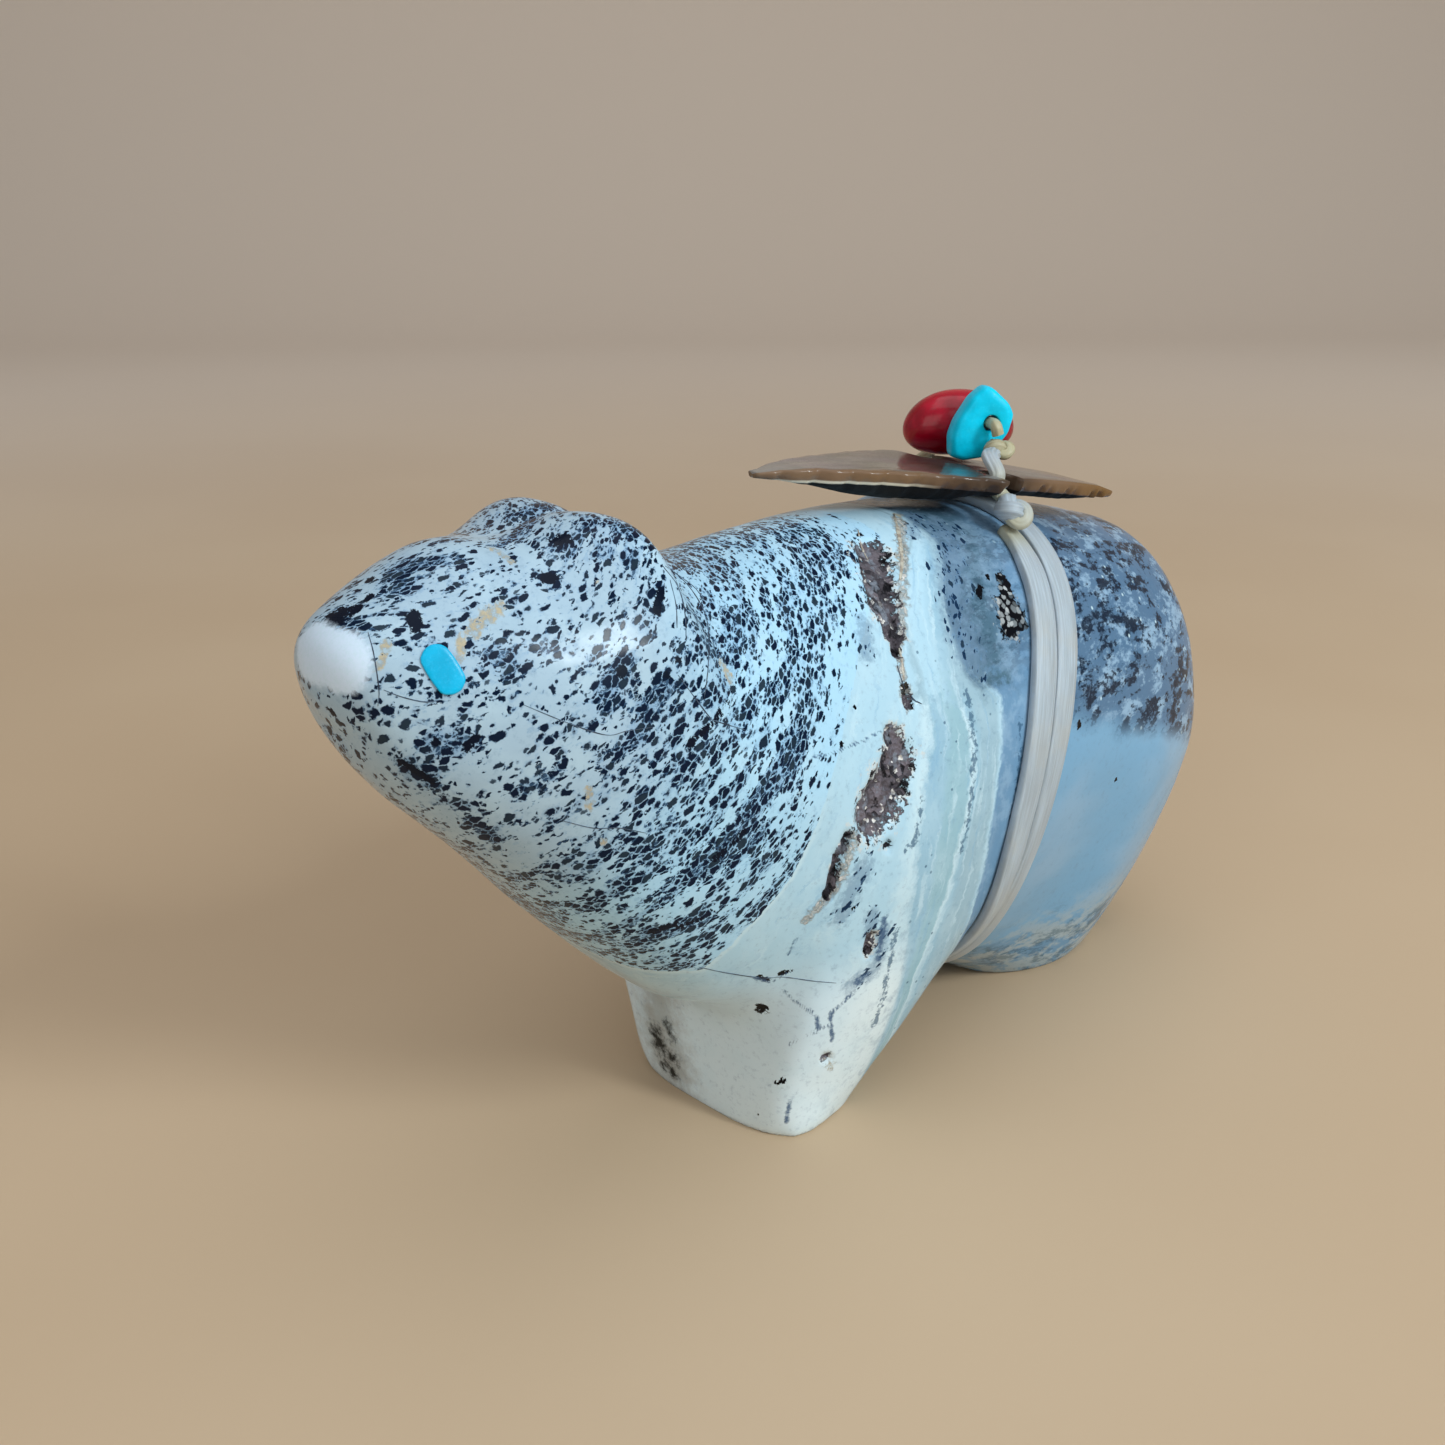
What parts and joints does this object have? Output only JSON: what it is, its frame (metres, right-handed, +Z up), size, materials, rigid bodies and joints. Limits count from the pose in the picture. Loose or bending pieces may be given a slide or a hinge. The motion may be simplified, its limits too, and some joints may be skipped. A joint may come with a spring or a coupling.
{
  "type": "carved stone bear figure",
  "caption": "Polished spotted-stone bear on two block feet, with inlaid eyes and a shell arrowhead and beads tied on its back with flat sinew.",
  "frame": {"origin": "on the standing surface, below the middle of the figure's length and width", "axes": "+Z up, +Y to the rear, so that the bear faces -Y, and +X to the bear's left side"},
  "size_m": [0.0246, 0.0644, 0.0394],
  "materials": {
    "stone": "polished, pale blue-white with black dendritic spots",
    "turquoise": "polished, even sky blue",
    "shell": "polished shell, grey-mauve with amber edges",
    "coral": "polished, dark red",
    "sinew": "waxed flat fibre, off-white, a little translucent"
  },
  "bodies": {
    "root": {"bear_body": "stone", "left_eye": "turquoise", "right_eye": "turquoise", "arrowhead": "shell", "turquoise_bead": "turquoise", "coral_bead": "coral", "sinew_wrap": "sinew", "left_knot": "sinew", "left_tie": "sinew", "bead_knot": "sinew", "bead_strand": "sinew", "right_knot": "sinew"}
  },
  "joints": []
}
